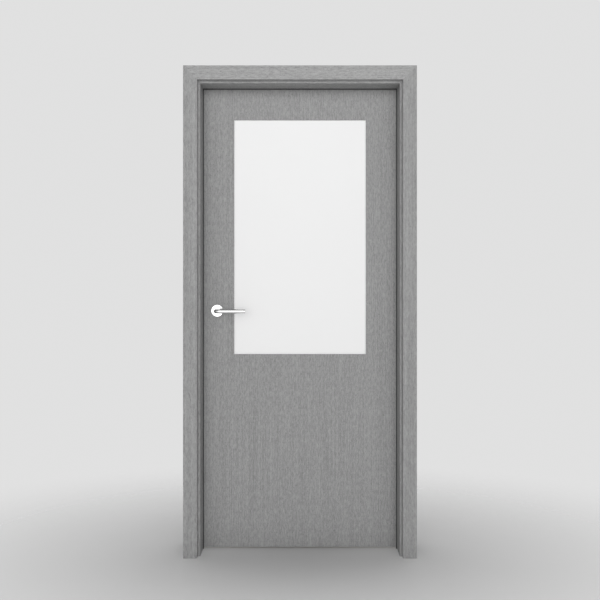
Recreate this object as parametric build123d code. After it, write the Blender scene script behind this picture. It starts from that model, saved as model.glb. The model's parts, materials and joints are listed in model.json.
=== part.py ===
from build123d import *
import os

# Glazed interior door set, in millimetres: a rebated timber lining with mitred architraves on both
# sides of the wall, and a flush leaf with one tall window, hung on butt hinges and worked by levers.
# +X points to the hinge side, +Y through the wall to the side the leaf opens to, and +Z up.
# The origin is at floor level on the wall face of the hinge jamb, halfway through the wall.

# Leaf
leaf_width = 880
leaf_height = 2040
leaf_thickness = 40
floor_gap = 7
facing_thickness = 4
lipping_thickness = 8

# Window in the leaf
window_margin = 148        # leaf edge to sight line, at the sides and at the top
window_height = 1038
glazing_lap = 12           # how far the front facing's lip covers the glass
glass_thickness = 6
glass_clearance = 2        # glass edge to the sides of its rebate
bead_splay = 5             # how far a bead leans back from the sight line

# Lining
lining_depth = 110
jamb_thickness = 25        # from the wall face to the rebate
edge_gap = 5               # leaf edge to rebate
stop_overlap = 10.5        # how far the stop covers the leaf
seal_gap = 5               # stop to leaf face
lining_arris = 1

# Architraves
architrave_width = 60
architrave_thickness = 17
front_margin = 10.5        # lining edge left bare beside the doorway
back_margin = 10           # lining edge left bare beside the rebate
architrave_arris = 1.5
relief_width = 20          # shallow hollow in the back, over the joint of lining and wall
relief_depth = 2

# Seal between stop and leaf
seal_show = 4              # how far the bulb stands out past the stop
seal_wall = 0.9
seal_web = 1.4
seal_leaf_clearance = 0.3
kerf_inset = 6             # stop face to kerf
kerf_width = 3
kerf_depth = 8
kerf_spare_depth = 1

# Butt hinges
hinge_height = 100
hinge_plate_width = 32
hinge_plate_thickness = 2.5
knuckle_count = 3
knuckle_radius = 6.5
knuckle_gap = 0.3
hinge_pin_radius = 3.5
hinge_pin_clearance = 0.1
hinge_pin_offset = 7.5     # pin axis behind the back of the leaf
lower_hinge_height = 250   # leaf foot to hinge middle
upper_hinge_drop = 200     # leaf top to hinge middle

# Latch in the leaf's edge, drawn in flush, and its strike plate
latch_bolt_width = 12
latch_bolt_height = 32
latch_bolt_length = 40
latch_bolt_arris = 0.8
latch_clearance = 0.3
latch_mortice_clearance = 1
forend_width = 20
forend_height = 165
forend_thickness = 3
strike_width = 22
strike_height = 140
strike_thickness = 2
strike_hole_clearance = 1.5
strike_pocket_depth = 14

# Lever handles
lever_height = 1054        # floor to lever axis
backset = 74               # leaf edge to lever axis
rose_radius = 26.5
rose_thickness = 8
rose_bevel = 1
lever_radius = 9.5
lever_length = 130         # lever axis to the end of the grip
lever_projection = 59      # leaf face to the grip's middle
lever_bend_radius = 16
lever_end_bevel = 1
lever_running_clearance = 0.1
lever_leaf_clearance = 0.5
spindle_size = 8
spindle_socket_depth = 32
spindle_end_clearance = 2
spindle_bore_radius = 11

# Depths through the wall
front_edge = -lining_depth / 2
back_edge = lining_depth / 2
leaf_back = back_edge
leaf_front = leaf_back - leaf_thickness
leaf_middle = (leaf_front + leaf_back) / 2
stop_back = leaf_front - seal_gap
core_front = leaf_front + facing_thickness
core_back = leaf_back - facing_thickness
glass_back = core_front + glass_thickness

# Places across the doorway
hinge_rebate = -jamb_thickness
leaf_hinge_edge = hinge_rebate - edge_gap
leaf_latch_edge = leaf_hinge_edge - leaf_width
latch_rebate = leaf_latch_edge - edge_gap
latch_wall_face = latch_rebate - jamb_thickness
middle = latch_wall_face / 2
rebate_depth = edge_gap + stop_overlap
stop_thickness = jamb_thickness + rebate_depth
stop_face = -stop_thickness
lever_axis = leaf_latch_edge + backset
window_latch_side = leaf_latch_edge + window_margin
window_hinge_side = leaf_hinge_edge - window_margin
pin_x = (hinge_rebate + leaf_hinge_edge) / 2
pin_y = leaf_back + hinge_pin_offset

# Heights
leaf_foot = floor_gap
leaf_top = leaf_foot + leaf_height
head_rebate = leaf_top + edge_gap
head_wall_face = head_rebate + jamb_thickness
doorway_top = head_wall_face - stop_thickness
window_top = leaf_top - window_margin
window_bottom = window_top - window_height
lower_hinge = leaf_foot + lower_hinge_height
upper_hinge = leaf_top - upper_hinge_drop
hinge_heights = {
    "lower": lower_hinge,
    "middle": (lower_hinge + upper_hinge) / 2,
    "upper": upper_hinge,
}


def block(low, high):
    """A plain board between two opposite corners."""
    sizes = [b - a for a, b in zip(low, high)]
    return Pos(*low) * Box(*sizes, align=(Align.MIN, Align.MIN, Align.MIN))


def mirrored(piece):
    """The same piece on the other side of the doorway."""
    return mirror(piece, about=Plane((middle, 0, 0), z_dir=(1, 0, 0)))


def other_face(piece):
    """The same piece on the other face of the leaf."""
    return mirror(piece, about=Plane((0, leaf_middle, 0), z_dir=(0, 1, 0)))


def mitred_surround(section, inner_x, inner_z, foot):
    """The hinge-side, latch-side and head lengths of a surround, mitred at its two top corners.

    The section's X runs outwards from the surround's inner edge, and its Y through the wall.
    """
    rise = section.bounding_box().max.X
    outer_x = inner_x + rise
    outer_z = inner_z + rise
    hinge_mitre = Plane((outer_x, 0, outer_z), z_dir=(-1, 0, 1))
    latch_mitre = Plane((2 * middle - outer_x, 0, outer_z), z_dir=(1, 0, 1))
    upright = extrude(Plane((inner_x, 0, foot)) * section, outer_z - foot, dir=(0, 0, 1))
    upright = split(upright, bisect_by=hinge_mitre, keep=Keep.BOTTOM)
    head_plane = Plane((outer_x, 0, inner_z), x_dir=(0, 0, 1), z_dir=(-1, 0, 0))
    head = extrude(head_plane * section, 2 * (outer_x - middle), dir=(-1, 0, 0))
    head = split(head, bisect_by=hinge_mitre, keep=Keep.TOP)
    head = split(head, bisect_by=latch_mitre, keep=Keep.TOP)
    return {"hinge_side": upright, "latch_side": mirrored(upright), "head": head}


def lining_section():
    """The lining: a stop in front, a rebate for the leaf behind it, and a kerf for the seal."""
    outline = Polyline(
        (0, front_edge),
        (stop_thickness, front_edge),
        (stop_thickness, back_edge),
        (rebate_depth, back_edge),
        (rebate_depth, stop_back),
        (0, stop_back),
        close=True,
    )
    section = make_face(outline)
    stop_corners = section.vertices().group_by(Axis.X)[0]
    section = fillet(stop_corners, lining_arris)
    kerf = Pos(kerf_inset, stop_back) * Rectangle(
        kerf_width, kerf_depth, align=(Align.MIN, Align.MAX)
    )
    return section - kerf


def seal_section():
    """A hollow bulb on a web that lies on the stop's back, with a foot pressed into the kerf."""
    bulb_radius = (seal_gap - seal_leaf_clearance) / 2
    bulb_x = bulb_radius - seal_show
    web_length = kerf_inset + kerf_width - bulb_x
    bulb = Pos(bulb_x, stop_back + bulb_radius) * Circle(bulb_radius)
    hollow = Pos(bulb_x, stop_back + bulb_radius) * Circle(bulb_radius - seal_wall)
    web = Pos(bulb_x, stop_back) * Rectangle(web_length, seal_web, align=(Align.MIN, Align.MIN))
    foot = Pos(kerf_inset, stop_back) * Rectangle(
        kerf_width, kerf_depth - kerf_spare_depth, align=(Align.MIN, Align.MAX)
    )
    return bulb + web + foot - hollow


def architrave_section(wall_side, room_side, lining_overlap):
    """A flat board with its two room-side corners eased and its back relieved between two lands.

    The inner land lies on the lining's edge, and the outer one on the wall.
    """
    board = Pos(0, min(wall_side, room_side)) * Rectangle(
        architrave_width, architrave_thickness, align=(Align.MIN, Align.MIN)
    )
    rows = board.vertices().group_by(Axis.Y)
    room_corners = rows[0] if room_side < wall_side else rows[-1]
    relief = Pos(lining_overlap, wall_side) * Rectangle(relief_width, 2 * relief_depth)
    return fillet(room_corners, architrave_arris) - relief


def glazing_beads():
    """Four splayed beads behind the glass, mitred at the window's corners."""
    section = make_face(
        Polyline(
            (0, glass_back),
            (glazing_lap, glass_back),
            (glazing_lap, leaf_back),
            (bead_splay, leaf_back),
            close=True,
        )
    )
    low_x = window_latch_side - glazing_lap
    high_x = window_hinge_side + glazing_lap
    low_z = window_bottom - glazing_lap
    high_z = window_top + glazing_lap
    top_mitre = Plane((high_x, 0, high_z), z_dir=(-1, 0, 1))
    bottom_mitre = Plane((high_x, 0, low_z), z_dir=(-1, 0, -1))
    upright = extrude(Plane((window_hinge_side, 0, low_z)) * section, high_z - low_z, dir=(0, 0, 1))
    upright = split(upright, bisect_by=top_mitre, keep=Keep.BOTTOM)
    upright = split(upright, bisect_by=bottom_mitre, keep=Keep.BOTTOM)
    head_plane = Plane((high_x, 0, window_top), x_dir=(0, 0, 1), z_dir=(-1, 0, 0))
    head = extrude(head_plane * section, high_x - low_x, dir=(-1, 0, 0))
    head = split(head, bisect_by=top_mitre, keep=Keep.TOP)
    head = split(head, bisect_by=Plane((low_x, 0, high_z), z_dir=(1, 0, 1)), keep=Keep.TOP)
    window_middle = Plane((0, 0, (window_top + window_bottom) / 2), z_dir=(0, 0, 1))
    return {
        "glazing_bead_hinge_side": upright,
        "glazing_bead_latch_side": mirrored(upright),
        "glazing_bead_top": head,
        "glazing_bead_bottom": mirror(head, about=window_middle),
    }


def hinge_plate(edge, into):
    """A hinge plate at height zero, let in flush behind edge; into is +1 or -1 along X."""
    far = edge + into * hinge_plate_thickness
    return block(
        (min(edge, far), leaf_back - hinge_plate_width, -hinge_height / 2),
        (max(edge, far), leaf_back, hinge_height / 2),
    )


def hinge_knuckles(edge, into, places):
    """Some of the barrel's knuckles, each with the tab that ties it to its plate."""
    length = (hinge_height - (knuckle_count - 1) * knuckle_gap) / knuckle_count
    far = edge + into * hinge_plate_thickness
    knuckles = []
    for place in places:
        foot = -hinge_height / 2 + place * (length + knuckle_gap)
        barrel = Pos(pin_x, pin_y, foot + length / 2) * Cylinder(knuckle_radius, length)
        tab = block((min(edge, far), leaf_back, foot), (max(edge, far), pin_y, foot + length))
        knuckles.append(barrel + tab)
    return knuckles


def hinge_frame_half():
    """The plate on the jamb, with the outer knuckles and the pin."""
    half = hinge_plate(hinge_rebate, 1)
    for knuckle in hinge_knuckles(hinge_rebate, 1, range(0, knuckle_count, 2)):
        half += knuckle
    return half + Pos(pin_x, pin_y, 0) * Cylinder(hinge_pin_radius, hinge_height)


def hinge_leaf_half():
    """The plate on the leaf, with the knuckles between, bored to turn on the pin."""
    half = hinge_plate(leaf_hinge_edge, -1)
    for knuckle in hinge_knuckles(leaf_hinge_edge, -1, range(1, knuckle_count, 2)):
        half += knuckle
    return half - Pos(pin_x, pin_y, 0) * Cylinder(hinge_pin_radius + hinge_pin_clearance, hinge_height)


def round_ended(width, height, depth, edge):
    """A round-ended plate that runs from edge along +X by depth, centred on the latch."""
    face = Plane((edge, leaf_middle, lever_height), x_dir=(0, 1, 0), z_dir=(1, 0, 0))
    return extrude(face * Rot(0, 0, 90) * SlotOverall(height, width), depth, dir=(1, 0, 0))


def latch_space(clearance, low, high):
    """The straight way of the latch bolt between two places, with clearance round it."""
    half_width = latch_bolt_width / 2 + clearance
    half_height = latch_bolt_height / 2 + clearance
    return block(
        (low, leaf_middle - half_width, lever_height - half_height),
        (high, leaf_middle + half_width, lever_height + half_height),
    )


def rose():
    """A round plate on the leaf's front face, bored for the lever's neck."""
    centre = Plane((lever_axis, leaf_front, lever_height), z_dir=(0, -1, 0))
    plate = extrude(centre * Circle(rose_radius), rose_thickness, dir=(0, -1, 0))
    plate = chamfer(plate.edges().group_by(Axis.Y)[0], rose_bevel)
    bore = extrude(
        centre * Circle(lever_radius + lever_running_clearance), rose_thickness, dir=(0, -1, 0)
    )
    return plate - bore


def lever():
    """A round bar that leaves the rose, bends once and runs level as the grip."""
    neck_start = leaf_front - lever_leaf_clearance
    grip = leaf_front - lever_projection
    path = FilletPolyline(
        (lever_axis, neck_start, lever_height),
        (lever_axis, grip, lever_height),
        (lever_axis + lever_length, grip, lever_height),
        radius=lever_bend_radius,
    )
    bar = sweep(Plane(path @ 0, z_dir=path % 0) * Circle(lever_radius), path)
    bar = chamfer(bar.edges().group_by(Axis.X)[-1], lever_end_bevel)
    half = spindle_size / 2
    socket = block(
        (lever_axis - half, neck_start - spindle_socket_depth, lever_height - half),
        (lever_axis + half, neck_start, lever_height + half),
    )
    return bar - socket


def spindle():
    """The square bar that ties the two levers together through the leaf."""
    half = spindle_size / 2
    reach = spindle_socket_depth - spindle_end_clearance + lever_leaf_clearance
    return block(
        (lever_axis - half, leaf_front - reach, lever_height - half),
        (lever_axis + half, leaf_back + reach, lever_height + half),
    )


def spindle_bore():
    """The hole through the leaf round the spindle."""
    start = Plane((lever_axis, leaf_front, lever_height), z_dir=(0, 1, 0))
    return extrude(start * Circle(spindle_bore_radius), leaf_thickness, dir=(0, 1, 0))


def leaf_pieces():
    """The leaf: a timber core between two facings, lipped at both edges and cut for its window."""
    stile_latch_side = leaf_latch_edge + lipping_thickness
    stile_hinge_side = leaf_hinge_edge - lipping_thickness
    rebate_latch_side = window_latch_side - glazing_lap
    rebate_hinge_side = window_hinge_side + glazing_lap
    rebate_bottom = window_bottom - glazing_lap
    rebate_top = window_top + glazing_lap
    sight = block(
        (window_latch_side, leaf_front, window_bottom), (window_hinge_side, leaf_back, window_top)
    )
    rebate = block(
        (rebate_latch_side, leaf_front, rebate_bottom), (rebate_hinge_side, leaf_back, rebate_top)
    )
    facing = block((leaf_latch_edge, leaf_front, leaf_foot), (leaf_hinge_edge, core_front, leaf_top))
    back_facing = other_face(facing) - rebate - spindle_bore()
    hinge_lipping = block(
        (stile_hinge_side, core_front, leaf_foot), (leaf_hinge_edge, core_back, leaf_top)
    )
    latch_lipping = block(
        (leaf_latch_edge, core_front, leaf_foot), (stile_latch_side, core_back, leaf_top)
    )
    for height in hinge_heights.values():
        mortice = Pos(0, 0, height) * hinge_plate(leaf_hinge_edge, -1)
        back_facing -= mortice
        hinge_lipping -= mortice
    latch_end = leaf_latch_edge + latch_bolt_length + latch_mortice_clearance
    latch_mortice = latch_space(latch_mortice_clearance, leaf_latch_edge, latch_end)
    forend_mortice = round_ended(forend_width, forend_height, forend_thickness, leaf_latch_edge)
    latch_stile = block(
        (stile_latch_side, core_front, leaf_foot), (rebate_latch_side, core_back, leaf_top)
    )
    return {
        "front_facing": facing - sight - spindle_bore(),
        "back_facing": back_facing,
        "latch_lipping": latch_lipping - latch_mortice - forend_mortice,
        "hinge_lipping": hinge_lipping,
        "latch_stile": latch_stile - latch_mortice - spindle_bore(),
        "hinge_stile": block(
            (rebate_hinge_side, core_front, leaf_foot), (stile_hinge_side, core_back, leaf_top)
        ),
        "top_rail": block(
            (rebate_latch_side, core_front, rebate_top), (rebate_hinge_side, core_back, leaf_top)
        ),
        "core_panel": block(
            (rebate_latch_side, core_front, leaf_foot), (rebate_hinge_side, core_back, rebate_bottom)
        ),
        "glass_pane": block(
            (rebate_latch_side + glass_clearance, core_front, rebate_bottom + glass_clearance),
            (rebate_hinge_side - glass_clearance, glass_back, rebate_top - glass_clearance),
        ),
    }


def latch_pieces():
    """The forend and the drawn-in latch bolt in the leaf's edge."""
    forend_back = leaf_latch_edge + forend_thickness
    forend = round_ended(forend_width, forend_height, forend_thickness, leaf_latch_edge)
    bolt = latch_space(0, leaf_latch_edge, leaf_latch_edge + latch_bolt_length)
    return {
        "lock_forend": forend - latch_space(latch_clearance, leaf_latch_edge, forend_back),
        "latch_bolt": chamfer(bolt.edges().group_by(Axis.X)[0], latch_bolt_arris),
    }


def lining_pieces():
    """The three lengths of the lining, cut for the hinges and the strike plate, and the plate."""
    lining = mitred_surround(lining_section(), stop_face, doorway_top, 0)
    hinge_jamb = lining["hinge_side"]
    for height in hinge_heights.values():
        hinge_jamb -= Pos(0, 0, height) * hinge_plate(hinge_rebate, 1)
    strike_back = latch_rebate - strike_thickness
    strike = round_ended(strike_width, strike_height, strike_thickness, strike_back)
    pocket = latch_space(strike_hole_clearance, strike_back - strike_pocket_depth, latch_rebate)
    return {
        "hinge_jamb": hinge_jamb,
        "latch_jamb": lining["latch_side"] - strike - pocket,
        "head_jamb": lining["head"],
        "strike_plate": strike - pocket,
    }


def surround_pieces():
    """The seals and the front and back architraves, each as two uprights and a head."""
    front_face = front_edge - architrave_thickness
    back_face = back_edge + architrave_thickness
    seal = mitred_surround(seal_section(), stop_face, doorway_top, 0)
    front = mitred_surround(
        architrave_section(front_edge, front_face, stop_thickness - front_margin),
        stop_face + front_margin,
        doorway_top + front_margin,
        0,
    )
    back = mitred_surround(
        architrave_section(back_edge, back_face, jamb_thickness - back_margin),
        hinge_rebate + back_margin,
        head_rebate + back_margin,
        0,
    )
    pieces = {}
    for side in ("hinge_side", "latch_side", "head"):
        pieces[f"seal_{side}"] = seal[side]
        pieces[f"front_architrave_{side}"] = front[side]
        pieces[f"back_architrave_{side}"] = back[side]
    return pieces


def hinge_pieces():
    """Both halves of each butt hinge, at its height on the leaf."""
    frame_half = hinge_frame_half()
    leaf_half = hinge_leaf_half()
    pieces = {}
    for name, height in hinge_heights.items():
        pieces[f"{name}_hinge_frame_half"] = Pos(0, 0, height) * frame_half
        pieces[f"{name}_hinge_leaf_half"] = Pos(0, 0, height) * leaf_half
    return pieces


def handle_pieces():
    """A lever and a rose on each face of the leaf, and the spindle between them."""
    return {
        "front_rose": rose(),
        "back_rose": other_face(rose()),
        "front_lever": lever(),
        "back_lever": other_face(lever()),
        "spindle": spindle(),
    }


pieces = {
    **lining_pieces(),
    **surround_pieces(),
    **hinge_pieces(),
    **leaf_pieces(),
    **glazing_beads(),
    **latch_pieces(),
    **handle_pieces(),
}
os.makedirs("parts", exist_ok=True)
for name, piece in pieces.items():
    export_step(piece, f"parts/{name}.step")
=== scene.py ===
import json
import math

import bmesh
import bpy
from mathutils import Matrix, Vector


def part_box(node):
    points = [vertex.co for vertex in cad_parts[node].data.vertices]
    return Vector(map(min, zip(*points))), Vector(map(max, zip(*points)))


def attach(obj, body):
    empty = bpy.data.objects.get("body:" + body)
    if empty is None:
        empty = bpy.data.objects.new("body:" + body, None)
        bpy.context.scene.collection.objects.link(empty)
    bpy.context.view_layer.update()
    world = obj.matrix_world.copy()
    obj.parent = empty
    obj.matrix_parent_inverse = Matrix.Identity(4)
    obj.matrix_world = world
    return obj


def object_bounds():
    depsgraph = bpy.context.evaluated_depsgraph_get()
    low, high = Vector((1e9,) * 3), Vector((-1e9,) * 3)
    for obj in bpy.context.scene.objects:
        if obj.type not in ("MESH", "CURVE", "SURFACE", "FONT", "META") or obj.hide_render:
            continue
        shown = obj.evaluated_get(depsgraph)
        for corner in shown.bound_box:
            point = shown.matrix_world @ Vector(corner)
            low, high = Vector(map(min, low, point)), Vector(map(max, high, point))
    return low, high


# Glazed interior door: the finish of every surface, the screws, the hinge tips, the floor, the light and
# the camera. Metres, in the part's own frame: +X to the hinge side, +Y through the wall, +Z up.

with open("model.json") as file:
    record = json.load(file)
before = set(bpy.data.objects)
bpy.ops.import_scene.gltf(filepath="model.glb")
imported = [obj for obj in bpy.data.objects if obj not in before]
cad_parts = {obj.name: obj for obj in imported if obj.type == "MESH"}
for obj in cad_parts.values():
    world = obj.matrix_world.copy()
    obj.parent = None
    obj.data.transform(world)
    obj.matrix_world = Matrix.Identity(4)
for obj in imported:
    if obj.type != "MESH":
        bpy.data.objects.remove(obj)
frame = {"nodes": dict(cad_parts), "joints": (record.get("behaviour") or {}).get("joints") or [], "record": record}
cad_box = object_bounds()
nodes = frame["nodes"]
scene = bpy.context.scene

# Axes by number, for the direction of grain and brushing
X, Y, Z = 0, 1, 2

# Camera, level and on the door's middle line
lens_mm = 32.3
sensor_mm = 36
camera_distance = 2.3          # to the face of the front architraves
camera_height = 1.181
picture_shift = -0.03

# Light from all round, and how it changes from straight below, at 0, to straight overhead, at 1
backdrop_tone = 0.75
light_by_height = (
    (0.36, 0.94),
    (0.5, 3.0),                # the horizon
    (0.68, 2.0),
    (0.8, 0.2),
)
side_light = 0.16              # light from straight beside the door, as a share of that from before it
back_light = 0.2               # the same from straight behind
back_side_light = 1.0          # the same from behind and far to the side
back_turn = 0.25               # how far behind the door's plane the light from behind has taken over

# Soft light panels, one on each side of the door
panel_size = (2.4, 1.4)
panel_height = 3.1
panel_distance = 2.2
panel_watts = 7
panel_aim_height = 1.2

# Floor
floor_radius = 4
floor_drop = 0.0004            # below the feet, so that no two faces share a place
floor_painted_shade_tone = 0.74         # painted shade, darkest by the door's feet
floor_tone = 0.91
# The painted shade on the floor pales away from the door, between these distances
floor_painted_shade_fade_start = 0
floor_painted_shade_fade_end = 0.55
mottle_size = 0.012
floor_mottle = 0.1             # share of the mottle in the floor's tone
floor_roughness = (0.55, 0.65)
floor_stretch = 2              # how much wider than deep the floor fades
floor_fade_start = 0
floor_fade_end = 1.15
floor_sides = 96

# Noise, and the shift that keeps two pieces from looking alike
noise_low = 0.3                # nearly all noise lies between these
noise_high = 0.7
piece_shift = (137, 211, 173)  # the furthest shift along each axis, in cells

# Veneer: features across and along the grain, and the share of each layer in the tone
figure_size = (0.04, 1.4)
figure_share = 0.09
figure_distortion = 0.4
line_size = (0.0045, 0.6)
line_share = 0.29
line_roughness = 0.65
streak_size = (0.0048, 0.021)
streak_share = 0.39
pore_size = (0.0007, 0.008)
pore_share = 0.23
pore_edge = (0.32, 0.5)        # noise inside a pore, and past its edge
grain_low = 0.36               # where the tone is darkest
grain_high = 0.77              # where it is palest
level_contrast = 0.48
upright_contrast = 0.42
# Level grain is given a paler tone than upright grain, a painted sheen of light from above
leaf_level_painted_sheen_tone = 0.33
leaf_upright_tone = 0.305
# Painted light: the trim's tones are paler than the leaf's, because the architraves stand in more light than the
# leaf in its recess
trim_level_painted_light_and_sheen_tone = 0.355
trim_upright_painted_light_tone = 0.319
veneer_roughness = (0.68, 0.5)  # inside a pore, and past its edge
veneer_specular = 0.35
veneer_relief = 0.00018
veneer_relief_strength = 0.6
veneer_relief_pores = 0.75     # share of the pores in the relief

# Sawn timber of the leaf's core
ring_size = (0.004, 0.04)
ring_share = 0.65
ring_distortion = 0.8
fibre_size = (0.0007, 0.006)
core_colours = ((0.35, (0.30, 0.26, 0.21)), (0.65, (0.46, 0.41, 0.35)))
core_roughness = (0.7, 0.85)
core_relief = 0.0004
core_relief_strength = 0.7

# Rubber of the seals
skin_size = 0.0006
skin_share = 0.5
run_size = (0.0012, 0.2)
rubber_tones = (0.04, 0.065)
rubber_roughness = (0.5, 0.7)
rubber_relief = 0.00008
rubber_relief_strength = 0.5

# Satin glass
etch_size = 0.0007
etch_share = 0.5
cloud_size = 0.18
glass_tones = (0.97, 0.985)
glass_roughness = (0.5, 0.6)
glass_transmission = 0.05
glass_ior = 1.5
glass_relief = 0.00004
glass_relief_strength = 0.4

# Brushed metal
brush_size = (0.00035, 0.02)
brush_share = 0.6
smear_size = 0.018
metal_dark = 0.93              # darkest tone, as a share of the palest
metal_anisotropy = 0.35
metal_relief = 0.00002
metal_relief_strength = 0.35
handle_tone = 0.86
handle_roughness = (0.08, 0.16)
fitting_tone = 0.62
fitting_roughness = (0.26, 0.38)
screw_tone = 0.5
screw_roughness = (0.3, 0.42)

# Screws
hinge_screw_radius = 0.0042
plate_screw_radius = 0.0034
screw_rise = 0.0006
screw_sink = 0.0003
screw_rim = 0.3                # top of the head's edge, as a share of its rise
screw_flat = 0.62              # flat top, as a share of the head's radius
screw_cross_reach = 0.48
screw_cross_width = 0.13
screw_cross_taper = 0.8        # reach of the cross at its base, as a share of that at its mouth
screw_sides = 24
screw_turn = 2.4               # turn from one screw's cross to the next
hinge_screw_heights = (-0.038, -0.013, 0.013, 0.038)
hinge_screw_depths = (-0.024, -0.010, -0.024, -0.010)
forend_screw_spread = 0.071
strike_screw_spread = 0.056
grub_radius = 0.0025
grub_flat = 0.88               # flat top, as a share of the screw's radius
grub_socket = 0.55
grub_socket_sides = 6
grub_socket_base = 0.2         # height of the socket's base, as a share of the screw's rise
grub_distance = 0.009          # rose to grub screw

# Hinges, and their tips as radius and height from the end of the barrel
hinges = ("lower", "middle", "upper")
hinge_tip = (
    (0.0050, -0.0002),
    (0.0052, 0.0004),
    (0.0052, 0.0016),
    (0.0047, 0.0024),
    (0.0034, 0.0030),
    (0.0016, 0.0033),
)


# Material helpers

def new_material(name):
    """A material with its node tree and its Principled shader."""
    material = bpy.data.materials.new(name)
    material.use_nodes = True
    return material, material.node_tree, material.node_tree.nodes["Principled BSDF"]


def stretched(tree, across, along=None, axis=Z):
    """Places on a piece, in cells across by along in size, shifted so that no two pieces look alike."""
    place = tree.nodes.new("ShaderNodeTexCoord").outputs["Object"]
    chance = tree.nodes.new("ShaderNodeObjectInfo").outputs["Random"]
    shift = tree.nodes.new("ShaderNodeVectorMath")
    shift.operation = "SCALE"
    shift.inputs[0].default_value = piece_shift
    tree.links.new(chance, shift.inputs["Scale"])
    mapping = tree.nodes.new("ShaderNodeMapping")
    cells = [1 / across] * 3
    cells[axis] = 1 / (along or across)
    mapping.inputs["Scale"].default_value = cells
    tree.links.new(place, mapping.inputs["Vector"])
    tree.links.new(shift.outputs["Vector"], mapping.inputs["Location"])
    return mapping.outputs["Vector"]


def noise(tree, vector, detail=2, roughness=0.5, distortion=0):
    """Noise with one feature a cell, around a half."""
    texture = tree.nodes.new("ShaderNodeTexNoise")
    texture.inputs["Scale"].default_value = 1
    texture.inputs["Detail"].default_value = detail
    texture.inputs["Roughness"].default_value = roughness
    texture.inputs["Distortion"].default_value = distortion
    tree.links.new(vector, texture.inputs["Vector"])
    return texture.outputs["Fac"]


def weighted(tree, *parts):
    """The sum of some values, each with its weight."""
    total = None
    for value, weight in parts:
        step = tree.nodes.new("ShaderNodeMath")
        step.operation = "MULTIPLY_ADD"
        step.inputs[1].default_value = weight
        step.inputs[2].default_value = 0
        tree.links.new(value, step.inputs[0])
        if total:
            tree.links.new(total, step.inputs[2])
        total = step.outputs["Value"]
    return total


def between(tree, value, low, high, start=noise_low, end=noise_high, form="LINEAR"):
    """From low to high, as a value goes from start to end."""
    step = tree.nodes.new("ShaderNodeMapRange")
    step.interpolation_type = form
    step.inputs["From Min"].default_value = start
    step.inputs["From Max"].default_value = end
    step.inputs["To Min"].default_value = low
    step.inputs["To Max"].default_value = high
    tree.links.new(value, step.inputs["Value"])
    return step.outputs["Result"]


def coloured(tree, value, *stops):
    """A colour ramp through stops of (place, colour)."""
    ramp = tree.nodes.new("ShaderNodeValToRGB")
    for number, (place, colour) in enumerate(stops):
        if number < 2:
            stop = ramp.color_ramp.elements[number]
            stop.position = place
        else:
            stop = ramp.color_ramp.elements.new(place)
        stop.color = (*colour, 1)
    tree.links.new(value, ramp.inputs["Fac"])
    return ramp.outputs["Color"]


def grey(tone):
    """A neutral colour."""
    return (tone, tone, tone)


def shaded(tree, value, dark, pale, low=noise_low, high=noise_high):
    """A grey from dark to pale, as a value goes from low to high."""
    return coloured(tree, value, (low, grey(dark)), (high, grey(pale)))


def raised(tree, surface, height, depth, strength):
    """Bump of a real depth on the shader."""
    bump = tree.nodes.new("ShaderNodeBump")
    bump.inputs["Strength"].default_value = strength
    bump.inputs["Distance"].default_value = depth
    tree.links.new(height, bump.inputs["Height"])
    tree.links.new(bump.outputs["Normal"], surface.inputs["Normal"])


def distance(tree, place, reach):
    """How far a place is from the middle, where reach is the length of one along each axis."""
    shrink = tree.nodes.new("ShaderNodeVectorMath")
    shrink.operation = "DIVIDE"
    shrink.inputs[1].default_value = reach
    tree.links.new(place, shrink.inputs[0])
    length = tree.nodes.new("ShaderNodeVectorMath")
    length.operation = "LENGTH"
    tree.links.new(shrink.outputs["Vector"], length.inputs[0])
    return length.outputs["Value"]


# Materials

def veneer(name, axis, tone, contrast):
    """Grey stained veneer: soft figure, long lines, short streaks and open pores along the grain."""
    material, tree, surface = new_material(name)
    figure = noise(tree, stretched(tree, *figure_size, axis), distortion=figure_distortion)
    lines = noise(tree, stretched(tree, *line_size, axis), detail=3, roughness=line_roughness)
    streaks = noise(tree, stretched(tree, *streak_size, axis))
    pores = noise(tree, stretched(tree, *pore_size, axis))
    past_pores = between(tree, pores, 0, 1, *pore_edge)
    layers = (
        (figure, figure_share),
        (lines, line_share),
        (streaks, streak_share),
        (past_pores, pore_share),
    )
    grain = weighted(tree, *layers)
    dark = tone * (1 - contrast)
    pale = tone * (1 + contrast)
    tree.links.new(shaded(tree, grain, dark, pale, grain_low, grain_high), surface.inputs["Base Color"])
    roughness = between(tree, past_pores, *veneer_roughness, 0, 1)
    tree.links.new(roughness, surface.inputs["Roughness"])
    surface.inputs["Specular IOR Level"].default_value = veneer_specular
    relief = weighted(tree, (past_pores, veneer_relief_pores), (lines, 1 - veneer_relief_pores))
    raised(tree, surface, relief, veneer_relief, veneer_relief_strength)
    return material


def core_timber():
    """Sawn softwood, which shows at the leaf's top and bottom edges."""
    material, tree, surface = new_material("core_timber_sawn")
    rings = noise(tree, stretched(tree, *ring_size, Y), detail=3, distortion=ring_distortion)
    fibres = noise(tree, stretched(tree, *fibre_size, Z))
    tone = weighted(tree, (rings, ring_share), (fibres, 1 - ring_share))
    tree.links.new(coloured(tree, tone, *core_colours), surface.inputs["Base Color"])
    tree.links.new(between(tree, fibres, *core_roughness), surface.inputs["Roughness"])
    raised(tree, surface, fibres, core_relief, core_relief_strength)
    return material


def seal_rubber():
    """Dark extruded rubber with a fine matt skin."""
    material, tree, surface = new_material("seal_rubber_matt")
    skin = noise(tree, stretched(tree, skin_size))
    run = noise(tree, stretched(tree, *run_size, Z))
    tone = weighted(tree, (skin, skin_share), (run, 1 - skin_share))
    tree.links.new(shaded(tree, tone, *rubber_tones), surface.inputs["Base Color"])
    tree.links.new(between(tree, skin, *rubber_roughness), surface.inputs["Roughness"])
    raised(tree, surface, skin, rubber_relief, rubber_relief_strength)
    return material


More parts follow.
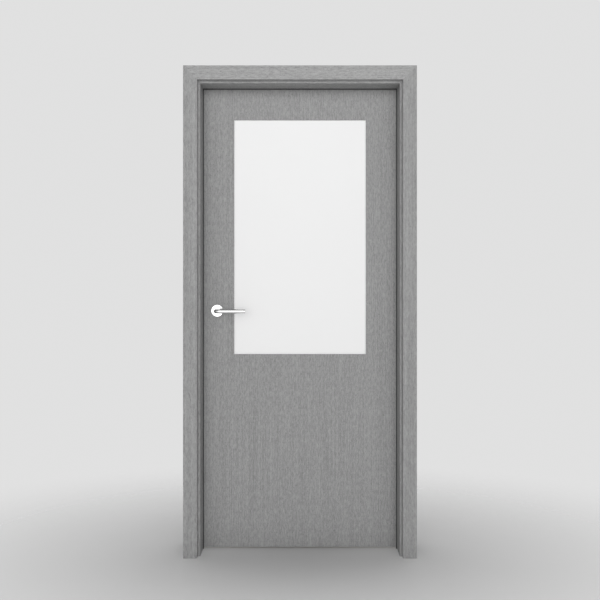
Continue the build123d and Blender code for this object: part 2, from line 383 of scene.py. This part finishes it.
def satin_glass():
    """White acid-etched glass, which lets a little light through and hides what is behind it."""
    material, tree, surface = new_material("satin_glass_etched")
    etch = noise(tree, stretched(tree, etch_size), detail=3)
    cloud = noise(tree, stretched(tree, cloud_size))
    tone = weighted(tree, (etch, etch_share), (cloud, 1 - etch_share))
    tree.links.new(shaded(tree, tone, *glass_tones), surface.inputs["Base Color"])
    tree.links.new(between(tree, etch, *glass_roughness), surface.inputs["Roughness"])
    surface.inputs["Transmission Weight"].default_value = glass_transmission
    surface.inputs["IOR"].default_value = glass_ior
    raised(tree, surface, etch, glass_relief, glass_relief_strength)
    return material


def brushed_metal(name, tone, roughness, axis):
    """Metal with a fine brushed grain along one axis and faint smears of handling."""
    material, tree, surface = new_material(name)
    brushing = noise(tree, stretched(tree, *brush_size, axis))
    smears = noise(tree, stretched(tree, smear_size), detail=3)
    mixed = weighted(tree, (brushing, brush_share), (smears, 1 - brush_share))
    tree.links.new(shaded(tree, mixed, tone * metal_dark, tone), surface.inputs["Base Color"])
    tree.links.new(between(tree, mixed, *roughness), surface.inputs["Roughness"])
    surface.inputs["Metallic"].default_value = 1
    surface.inputs["Anisotropic"].default_value = metal_anisotropy
    raised(tree, surface, brushing, metal_relief, metal_relief_strength)
    return material


def floor_finish():
    """Plain floor, faintly mottled, with painted shade by the door that pales away from it, where the floor fades
    into the backdrop.
    """
    material, tree, surface = new_material("studio_floor")
    mottle = noise(tree, stretched(tree, mottle_size), detail=4)
    place = tree.nodes.new("ShaderNodeTexCoord").outputs["Object"]
    far = distance(tree, place, (floor_stretch, 1, 1))
    # Painted shade: the floor is darker near the door and paler away from it
    pale = between(tree, far, 0, 1, floor_painted_shade_fade_start, floor_painted_shade_fade_end, "SMOOTHSTEP")
    tone = weighted(tree, (pale, 1 - floor_mottle), (mottle, floor_mottle))
    colour = shaded(tree, tone, floor_painted_shade_tone, floor_tone, 0, 1)
    tree.links.new(colour, surface.inputs["Base Color"])
    tree.links.new(between(tree, mottle, *floor_roughness), surface.inputs["Roughness"])
    shown = between(tree, far, 1, 0, floor_fade_start, floor_fade_end, "SMOOTHSTEP")
    tree.links.new(shown, surface.inputs["Alpha"])
    return material


# Pieces

def new_piece(name, mesh, material):
    """A mesh from bmesh as an object in the scene, with one material."""
    data = bpy.data.meshes.new(name)
    mesh.to_mesh(data)
    mesh.free()
    data.materials.append(material)
    piece = bpy.data.objects.new(name, data)
    scene.collection.objects.link(piece)
    return piece


def ring(mesh, placing, radius, height, sides=screw_sides):
    """A closed loop of points round the placing's own Z axis."""
    turns = [2 * math.pi * number / sides for number in range(sides)]
    return [
        mesh.verts.new(placing @ Vector((radius * math.cos(t), radius * math.sin(t), height)))
        for t in turns
    ]


def cross(mesh, placing, reach, half_width, height):
    """The twelve points of a cross round the placing's own Z axis."""
    arm = [(reach, -half_width), (reach, half_width), (half_width, half_width)]
    points = []
    for quarter in range(4):
        turn = Matrix.Rotation(quarter * math.pi / 2, 4, "Z")
        points += [mesh.verts.new(placing @ turn @ Vector((x, y, height))) for x, y in arm]
    return points


def joined(mesh, lower, upper):
    """A band of faces between two loops with as many points."""
    for number, low in enumerate(lower):
        after = (number + 1) % len(lower)
        mesh.faces.new((low, lower[after], upper[after], upper[number]))


def loop_edges(mesh, points):
    """The edges of a closed loop, made where they are missing."""
    edges = []
    for number, point in enumerate(points):
        ends = (points[number - 1], point)
        edges.append(mesh.edges.get(ends) or mesh.edges.new(ends))
    return edges


def round_head(mesh, placing, radius, flat, mouth, base):
    """A low round head, let in at the placing's origin, with a recess from its mouth to its base."""
    foot = ring(mesh, placing, radius, -screw_sink)
    rim = ring(mesh, placing, radius, screw_rise * screw_rim)
    top = ring(mesh, placing, radius * flat, screw_rise)
    joined(mesh, foot, rim)
    joined(mesh, rim, top)
    joined(mesh, base, mouth)
    mesh.faces.new(base)
    mesh.faces.new(list(reversed(foot)))
    bmesh.ops.triangle_fill(mesh, edges=loop_edges(mesh, top) + loop_edges(mesh, mouth))


def cross_screw(mesh, placing, radius):
    """A raised countersunk screw with a cross recess."""
    reach = radius * screw_cross_reach
    half_width = radius * screw_cross_width
    mouth = cross(mesh, placing, reach, half_width, screw_rise)
    base = cross(mesh, placing, reach * screw_cross_taper, half_width, 0)
    round_head(mesh, placing, radius, screw_flat, mouth, base)


def grub_screw(mesh, placing, radius):
    """A small set screw with a six-sided socket."""
    socket_radius = radius * grub_socket
    mouth = ring(mesh, placing, socket_radius, screw_rise, grub_socket_sides)
    base = ring(mesh, placing, socket_radius, screw_rise * grub_socket_base, grub_socket_sides)
    round_head(mesh, placing, radius, grub_flat, mouth, base)


def turned(mesh, placing, profile):
    """A round solid through (radius, height) pairs, closed at both ends."""
    loops = [ring(mesh, placing, radius, height) for radius, height in profile]
    for lower, upper in zip(loops, loops[1:]):
        joined(mesh, lower, upper)
    mesh.faces.new(list(reversed(loops[0])))
    mesh.faces.new(loops[-1])


def facing_along(place, direction):
    """A placing whose own Z axis points along a direction."""
    upright = Vector((0, 0, 1)).rotation_difference(Vector(direction)).to_matrix().to_4x4()
    return Matrix.Translation(place) @ upright


def fitting(name, mesh, metal, body):
    """A small metal piece that rides on a body."""
    bmesh.ops.recalc_face_normals(mesh, faces=mesh.faces)
    piece = new_piece(name, mesh, metals[metal])
    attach(piece, body)


def screws(name, body, places, facing, radius):
    """Screw heads on a plate as one joined mesh, each turned a little further than the last."""
    mesh = bmesh.new()
    for number, place in enumerate(places):
        turn = Matrix.Rotation(number * screw_turn, 4, "Z")
        cross_screw(mesh, facing_along(place, facing) @ turn, radius)
    fitting(name, mesh, "screw", body)


def joint_place(name):
    """Where a joint's axis is."""
    return Vector(next(joint for joint in frame["joints"] if joint["name"] == name)["pos_m"])


def hinge_screws():
    """Four screws in each hinge plate, staggered as the holes of a butt hinge are."""
    pin = joint_place("door_swing")
    leaf_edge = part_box("hinge_lipping")[1].x
    leaf_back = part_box("back_facing")[1].y
    jamb_face = 2 * pin.x - leaf_edge
    spots = list(zip(hinge_screw_depths, hinge_screw_heights))
    for hinge in hinges:
        low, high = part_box(f"{hinge}_hinge_leaf_half")
        middle = (low.z + high.z) / 2
        on_jamb = [Vector((jamb_face, leaf_back + y, middle + z)) for y, z in spots]
        on_leaf = [Vector((leaf_edge, leaf_back + y, middle + z)) for y, z in spots]
        screws(f"{hinge}_hinge_frame_screws", "frame", on_jamb, (-1, 0, 0), hinge_screw_radius)
        screws(f"{hinge}_hinge_leaf_screws", "door_leaf", on_leaf, (1, 0, 0), hinge_screw_radius)


def hinge_tips():
    """A turned button at each end of a hinge's pin."""
    pin = joint_place("door_swing")
    for hinge in hinges:
        low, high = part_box(f"{hinge}_hinge_frame_half")
        mesh = bmesh.new()
        turned(mesh, facing_along((pin.x, pin.y, high.z), (0, 0, 1)), hinge_tip)
        turned(mesh, facing_along((pin.x, pin.y, low.z), (0, 0, -1)), hinge_tip)
        fitting(f"{hinge}_hinge_tips", mesh, "fitting", "frame")


def latch_screws():
    """Two screws in the forend and two in the strike plate."""
    plates = (
        ("lock_forend", "door_leaf", -1, forend_screw_spread),
        ("strike_plate", "frame", 1, strike_screw_spread),
    )
    for name, body, outwards, spread in plates:
        low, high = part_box(name)
        centre = (low + high) / 2
        face = low.x if outwards < 0 else high.x
        spots = [Vector((face, centre.y, centre.z + s * spread)) for s in (-1, 1)]
        screws(f"{name}_screws", body, spots, (outwards, 0, 0), plate_screw_radius)


def lever_screws():
    """A grub screw under each lever's neck, which holds the lever to the spindle."""
    axis = joint_place("lever_turn")
    for side, outwards in (("front", -1), ("back", 1)):
        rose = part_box(f"{side}_rose")
        rose_face = rose[0].y if outwards < 0 else rose[1].y
        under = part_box(f"{side}_lever")[0].z
        mesh = bmesh.new()
        place = (axis.x, rose_face + outwards * grub_distance, under)
        grub_screw(mesh, facing_along(place, (0, 0, -1)), grub_radius)
        fitting(f"{side}_lever_grub_screw", mesh, "screw", "lever_set")


# Finish of each node

leaf_grains = {
    # Painted sheen: level grain is paler than upright grain
    X: veneer("grey_veneer_level", X, leaf_level_painted_sheen_tone, level_contrast),
    Z: veneer("grey_veneer_upright", Z, leaf_upright_tone, upright_contrast),
}
# Painted light: the trim's veneer is painted paler than the leaf's
trim_painted_light_grains = {
    X: veneer("trim_veneer_level", X, trim_level_painted_light_and_sheen_tone, level_contrast),
    Z: veneer("trim_veneer_upright", Z, trim_upright_painted_light_tone, upright_contrast),
}
metals = {
    "handle": brushed_metal("handle_satin_chrome", handle_tone, handle_roughness, X),
    "fitting": brushed_metal("fitting_brushed_steel", fitting_tone, fitting_roughness, Z),
    "screw": brushed_metal("screw_zinc", screw_tone, screw_roughness, Y),
}
finishes = {
    "core_timber": core_timber(),
    "seal_rubber": seal_rubber(),
    "satin_glass": satin_glass(),
    "handle_metal": metals["handle"],
    "steel_fittings": metals["fitting"],
}
level_pieces = ("head", "glazing_bead_top", "glazing_bead_bottom")
for subpart in frame["record"]["subparts"]:
    node = nodes[subpart["node"]]
    slot = subpart["material_slot"]
    axis = X if any(word in node.name for word in level_pieces) else Z
    grains = trim_painted_light_grains if "architrave" in node.name else leaf_grains
    node.data.materials.clear()
    node.data.materials.append(grains[axis] if slot == "grey_veneer" else finishes[slot])

hinge_screws()
hinge_tips()
latch_screws()
lever_screws()


# Floor, light and camera

def studio_floor(centre):
    """A round floor under the door."""
    mesh = bmesh.new()
    mesh.faces.new(ring(mesh, Matrix.Identity(4), floor_radius, 0, floor_sides))
    floor = new_piece("studio_floor", mesh, floor_finish())
    floor.location = (centre.x, centre.y, -floor_drop)


def studio_world():
    """Soft light, strongest at the horizon and weak overhead, with a plain pale backdrop.

    Before the door it weakens towards the sides, and behind the door it grows towards them.
    """
    world = bpy.data.worlds.new("studio")
    scene.world = world
    world.use_nodes = True
    tree = world.node_tree
    lit = tree.nodes["Background"]
    direction = tree.nodes.new("ShaderNodeTexCoord").outputs["Generated"]
    parts = tree.nodes.new("ShaderNodeSeparateXYZ")
    tree.links.new(direction, parts.inputs["Vector"])
    height = between(tree, parts.outputs["Z"], 0, 1, -1, 1)
    stops = [(place, grey(light)) for place, light in light_by_height]
    tree.links.new(coloured(tree, height, *stops), lit.inputs["Color"])
    sideways = tree.nodes.new("ShaderNodeMath")
    sideways.operation = "ABSOLUTE"
    tree.links.new(parts.outputs["X"], sideways.inputs[0])
    beside = sideways.outputs["Value"]
    from_before = between(tree, beside, 1, side_light, 0, 1)
    from_behind = between(tree, beside, back_light, back_side_light, 0, 1)
    strength = tree.nodes.new("ShaderNodeMix")
    tree.links.new(between(tree, parts.outputs["Y"], 0, 1, 0, back_turn), strength.inputs["Factor"])
    tree.links.new(from_before, strength.inputs["A"])
    tree.links.new(from_behind, strength.inputs["B"])
    tree.links.new(strength.outputs["Result"], lit.inputs["Strength"])
    seen = tree.nodes.new("ShaderNodeBackground")
    seen.inputs["Color"].default_value = (*grey(backdrop_tone), 1)
    choice = tree.nodes.new("ShaderNodeMixShader")
    path = tree.nodes.new("ShaderNodeLightPath")
    tree.links.new(path.outputs["Is Camera Ray"], choice.inputs["Fac"])
    tree.links.new(lit.outputs["Background"], choice.inputs[1])
    tree.links.new(seen.outputs["Background"], choice.inputs[2])
    tree.links.new(choice.outputs["Shader"], tree.nodes["World Output"].inputs["Surface"])


def light_panels(centre):
    """A soft panel high up before the door, and its twin behind it."""
    for name, side in (("front_panel", -1), ("back_panel", 1)):
        data = bpy.data.lights.new(name, "AREA")
        data.shape = "RECTANGLE"
        data.size, data.size_y = panel_size
        data.energy = panel_watts
        panel = bpy.data.objects.new(name, data)
        scene.collection.objects.link(panel)
        panel.location = (centre.x, centre.y + side * panel_distance, panel_height)
        aim = Vector((centre.x, centre.y, panel_aim_height)) - panel.location
        panel.rotation_euler = aim.to_track_quat("-Z", "Y").to_euler()
        panel.visible_camera = False


def level_camera(centre):
    """A level camera in front of the door's middle line."""
    data = bpy.data.cameras.new("camera")
    data.lens = lens_mm
    data.sensor_width = sensor_mm
    data.shift_y = picture_shift
    camera = bpy.data.objects.new("camera", data)
    scene.collection.objects.link(camera)
    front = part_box("front_architrave_head")[0].y
    camera.location = (centre.x, front - camera_distance, camera_height)
    camera.rotation_euler = (math.pi / 2, 0, 0)
    scene.camera = camera


door_centre = (cad_box[0] + cad_box[1]) / 2
studio_floor(door_centre)
studio_world()
light_panels(door_centre)
level_camera(door_centre)
scene.view_settings.view_transform = "Standard"
